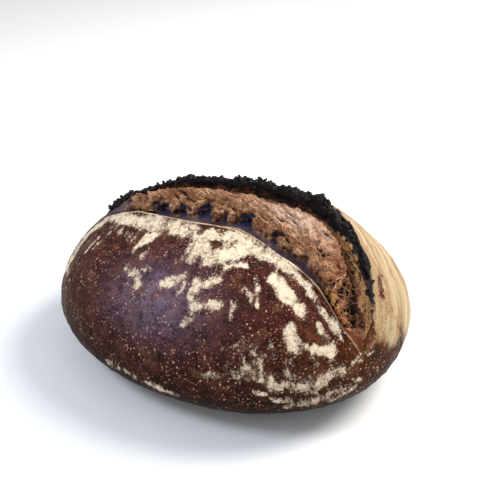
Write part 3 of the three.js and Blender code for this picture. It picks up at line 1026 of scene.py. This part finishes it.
def crust_material():
    """Dark crust with specks and flour, the streaked flour behind the ear, and the soot at its edge. It
    carries a painted cool sheen, painted shade low down and in the creases, and partly painted highlights
    on the blister tops.
    """
    n = Nodes("dark_crust")
    tone = n.noise(26, 5)
    blotch = n.noise(7, 5, 0.65)
    fine = n.noise(1.7, 6, 0.75)
    warm = n.math("ADD", n.mask("warm"), n.step(tone, 0.48, 0.72, 0, 0.5), clamp=True)
    depth = n.plus(n.times(fine, 0.6), n.times(blotch, 0.4))
    dark = n.tones(depth, 0.38, 0.62, PLUM)
    rust = n.tones(depth, 0.38, 0.62, RUSSET)
    skin = n.mix(warm, dark, rust)
    # Painted sheen on the front left of the crust
    skin = n.mix(n.times(n.mask("painted_sheen"), n.step(depth, 0.36, 0.6, 0.1, 0.75)), skin, PAINTED_COOL_SHEEN)
    # Painted shade: the crust darkens towards the floor
    skin = n.mix(n.times(n.mask("low"), n.step(blotch, 0.35, 0.6, 1, 0.85)), skin, PAINTED_LOW_SHADE)

    dusty = n.times(n.step(n.noise(13, 6, 0.75), 0.48, 0.66, 0, 0.5), n.step(fine, 0.3, 0.6, 0.4, 1))
    dusty = n.times(dusty, n.step(n.mask("low"), 0.2, 0.8, 1, 0.25))
    skin = n.mix(dusty, skin, DUSTY)

    speck, gap = n.specks(2.4, (0.16, 0.32), (0.45, 0.75))
    dust = n.specks(1.3, (0.18, 0.38), (0.5, 0.85))[0]
    # Wider pale dots for the tops of blisters: partly their own colour, partly painted highlights
    blister_tops_and_highlights = n.specks(4.6, (0.13, 0.24), (0.62, 0.8))[0]
    thick = n.step(n.noise(16, 4, 0.7), 0.42, 0.6, 0.12, 1)
    pale = n.math("MAXIMUM", n.times(speck, 0.85), n.times(dust, 0.6))
    skin = n.mix(n.times(pale, thick), skin, SPECK)
    skin = n.mix(n.times(blister_tops_and_highlights, n.times(thick, 0.75)), skin, WIDE_SPECK_AND_HIGHLIGHT)

    grain = n.noise(1.5, 6, 0.8)
    islands = n.noise(5, 6, 0.72, stretch=(1, 2.2, 1.6))
    streaks = n.streaks("from_ear", 8, 60)
    ragged = n.plus(n.times(grain, 0.5), n.times(islands, 0.5))
    lying = n.plus(n.mask("flour"), n.centred(ragged, 3.6))
    flour = n.times(n.step(lying, 0.42, 0.74), n.step(n.mask("flour"), 0.01, 0.12))
    white = n.mix(n.step(n.noise(3.4, 7, 0.72), 0.3, 0.54), FLOUR_GREY, FLOUR_WHITE)
    veil = n.times(n.step(lying, -0.05, 0.8), n.step(n.mask("flour"), 0.26, 0.8, 0, 0.4))
    dusted = n.mix(veil, skin, FLOUR_GREY)
    dusted = n.mix(n.times(flour, n.step(lying, 0.5, 1.1, 0.72, 0.97)), dusted, white)
    # Painted shade along the creases
    dusted = n.mix(n.times(n.mask("crease"), 0.75), dusted, PAINTED_CREASE_SHADE)

    soft = n.plus(n.mask("behind"), n.centred(streaks, 1.5))
    soft = n.plus(soft, n.centred(grain, 1.4))
    soft = n.plus(soft, n.centred(tone, 2.4))
    toasted = n.tones(fine, 0.36, 0.62, TOASTED)
    cream = n.mix(n.step(n.plus(streaks, n.times(fine, 0.3)), 0.5, 0.82), *CREAM)
    streaky = n.mix(n.step(soft, 0.06, 0.36), skin, toasted)
    streaky = n.mix(n.step(soft, 0.46, 0.84), streaky, cream)
    skin = n.mix(n.mask("back"), dusted, streaky)

    soot = n.tones(fine, 0.5, 0.8, CRUST_SOOT)
    skin = n.mix(n.step(n.plus(n.mask("char"), n.times(fine, 0.3)), 0.5, 0.75), skin, soot)
    skin = n.mix(n.mask("inside"), skin, n.mix(n.mask("warm"), *INSIDE))
    skin = n.mix(n.times(n.mask("edge"), n.step(blotch, 0.35, 0.5, 0.4, 1)), skin, TAN_EDGE)
    rough = n.step(fine, 0.3, 0.7, 0.4, 0.6)
    n.surface(skin, n.plus(rough, n.times(flour, 0.35)), specular=0.05)
    height = n.plus(n.times(fine, 0.6), n.times(n.step(gap, 0.0, 0.45, 1, 0), 0.5))
    height = n.plus(height, n.times(blotch, 0.8))
    height = n.plus(height, n.times(flour, 0.3))
    n.bump(height, 0.5)
    return n.material


def bloom_material():
    """Torn dough, the dark channel in front of it and the burnt wall of the ear, with painted shade in the
    channel, hollows and recesses, and a partly painted highlight on the dough.
    """
    n = Nodes("torn_bloom")
    fine = n.noise(1.5, 6, 0.8)
    patch = n.noise(8, 5, 0.7)
    brown = n.tones(patch, 0.38, 0.62, TORN_BROWN)
    crumb = n.mix(n.step(fine, 0.34, 0.58), TORN_DARK, brown)
    # Partly a painted highlight on the bloom's middle
    rosy_and_highlight = n.tones(fine, 0.32, 0.56, ROSY_AND_HIGHLIGHT)
    crumb = n.mix(n.times(n.mask("pale"), n.step(patch, 0.38, 0.56, 0.2, 1)), crumb, rosy_and_highlight)
    stretched = n.tones(fine, 0.36, 0.62, STRETCHED_DOUGH)
    crumb = n.mix(n.times(n.mask("near"), 0.8), crumb, stretched)
    honey = n.tones(patch, 0.35, 0.6, HONEY)
    crumb = n.mix(n.times(n.mask("gold"), n.step(fine, 0.34, 0.58, 0.1, 0.9)), crumb, honey)
    # Painted shade in the dough's recesses
    crumb = n.mix(n.step(n.mask("low"), 0.1, 0.7, 0, 0.93), crumb, PAINTED_TORN_SHADE)
    # The channel floor: its own colour, darkened and cooled with painted shade
    floor = n.tones(patch, 0.35, 0.65, CHANNEL_AND_SHADE)
    floor = n.mix(n.mask("amber"), floor, n.tones(fine, 0.35, 0.62, AMBER))
    skin = n.mix(n.mask("channel"), crumb, floor)
    # Painted shade in the hollows
    skin = n.mix(n.times(n.mask("hollow"), 0.95), skin, n.mix(patch, *PAINTED_HOLLOW_SHADE))
    wall = n.tones(fine, 0.36, 0.62, WALL_DARK)
    wall = n.mix(n.mask("near"), wall, n.tones(fine, 0.34, 0.58, WALL_NEAR))
    # Painted shade in the wall's recesses
    wall = n.mix(n.step(n.mask("low"), 0.1, 0.7, 0, 0.95), wall, PAINTED_WALL_SHADE)
    skin = n.mix(n.mask("wall"), skin, wall)
    burnt = n.step(n.plus(n.mask("char"), n.centred(patch, 0.7)), 0.3, 0.6)
    soot = n.tones(fine, 0.48, 0.75, BLOOM_SOOT)
    skin = n.mix(burnt, skin, soot)
    rough = n.blend(n.mask("channel"), n.step(fine, 0.3, 0.7, 0.55, 0.8), 0.4)
    n.surface(skin, rough, specular=0.18)
    height = n.plus(n.times(fine, 0.9), n.times(patch, 0.5))
    n.bump(height, 0.7)
    return n.material


def burnt_material():
    n = Nodes("burnt_edge")
    fine = n.noise(0.9, 5, 0.7)
    n.surface(n.tones(fine, 0.45, 0.75, CRUMB_SOOT), n.step(fine, 0.3, 0.7, 0.45, 0.75), specular=0.25)
    n.bump(fine, 0.3)
    return n.material


def thread_material():
    n = Nodes("torn_dough")
    fine = n.noise(1.2, 4)
    shade = n.mix(n.mask("shade"), *THREAD_SHADES)
    n.surface(n.mix(n.step(fine, 0.3, 0.55), THREAD_DARK, shade), n.step(fine, 0.3, 0.7, 0.55, 0.8))
    n.bump(fine, 0.2)
    return n.material


def lip_material():
    n = Nodes("peeled_crust")
    fine = n.noise(1.5, 4)
    n.surface(n.tones(fine, 0.35, 0.7, CURL_TAN), n.step(fine, 0.3, 0.7, 0.5, 0.7))
    n.bump(fine, 0.2)
    return n.material


# ---------------------------------------------------------------- stage

AZIMUTH = math.radians(28)
ELEVATION = math.radians(32.8)
DISTANCE = 0.558
FOCAL_LENGTH = 56.4
SHIFT_X = 0.0125
SHIFT_Y = 0.083
AIM = Vector((0, 0, 0.050))
# Lights: name, place, size, power and tint
LIGHTS = [
    ("key", (0.6, 0.7, 1.0), 0.8, 24, (1.0, 0.96, 0.9)),
    ("sky", (-0.42, -0.52, 0.85), 0.35, 4.5, (0.78, 0.86, 1.0)),
]
SKY_TINT = (0.93, 0.96, 1.0, 1)
SKY_STRENGTH = 0.62
FLOOR_HALF = 4.0
FLOOR_ROUGHNESS = 0.9
# Rings and stations of the plain body whose box is measured
BODY_RINGS = 180
BODY_STATIONS = 360


def add_camera():
    back = Vector((
        math.sin(AZIMUTH) * math.cos(ELEVATION),
        -math.cos(AZIMUTH) * math.cos(ELEVATION),
        math.sin(ELEVATION),
    ))
    camera = bpy.data.cameras.new("camera")
    camera.lens = FOCAL_LENGTH
    camera.shift_x = SHIFT_X
    camera.shift_y = SHIFT_Y
    camera.clip_start = 0.01
    placed = add_object("camera", camera)
    placed.location = AIM + back * DISTANCE
    placed.rotation_euler = back.to_track_quat("Z", "Y").to_euler()
    bpy.context.scene.camera = placed


def add_light(name, place, size, power, tint):
    light = bpy.data.lights.new(name, "AREA")
    light.shape = "DISK"
    light.size = size
    light.energy = power
    light.color = tint
    placed = add_object(name, light)
    placed.location = place
    placed.rotation_euler = (Vector(place) - AIM).to_track_quat("Z", "Y").to_euler()


def add_stage():
    n = Nodes("pale_floor")
    n.surface(n.mix(n.noise(40, 2), *PALE_FLOOR), FLOOR_ROUGHNESS)
    mesh = bpy.data.meshes.new("floor")
    corners = [(x * FLOOR_HALF, y * FLOOR_HALF, 0) for x, y in ((-1, -1), (1, -1), (1, 1), (-1, 1))]
    mesh.from_pydata(corners, [], [(0, 1, 2, 3)])
    mesh.materials.append(n.material)
    floor = add_object("floor", mesh)
    world = bpy.data.worlds.new("studio")
    world.use_nodes = True
    background = world.node_tree.nodes["Background"]
    background.inputs["Color"].default_value = SKY_TINT
    background.inputs["Strength"].default_value = SKY_STRENGTH
    bpy.context.scene.world = world
    for light in LIGHTS:
        add_light(*light)
    bpy.context.scene.view_settings.view_transform = "Standard"


# ---------------------------------------------------------------- the loaf

def body_shift():
    """What moves the plain body into the middle of the solid's box, and down to its floor."""
    steps = np.linspace(0, math.pi, BODY_RINGS + 1)[1:-1, None]
    around = np.linspace(-math.pi / 2, 3 * math.pi / 2, BODY_STATIONS + 1)[None, :]
    x, angle = np.broadcast_arrays(-LENGTH / 2 * np.cos(steps), around)
    points = on_body(x, angle, np.zeros(x.shape))
    low, high = points.min((0, 1)), points.max((0, 1))
    middle = (LOW + HIGH) / 2 - (low + high) / 2
    return np.array([0.0, middle[1], LOW[2] - low[2]])


add_camera()
add_stage()
BODY_SHIFT = body_shift()

crust = make_crust(crust_material())
bloom, bloom_points, bloom_shares, bloom_ups = make_bloom(bloom_material())
crumbs = make_crumbs(burnt_material(), bloom_points, bloom_ups)
threads = make_threads(thread_material(), bloom_points, bloom_shares, bloom_ups)
curl = make_lip_curl(lip_material())

for piece in (crust, bloom, crumbs, threads, curl):
    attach(piece, "root")
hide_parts("loaf")
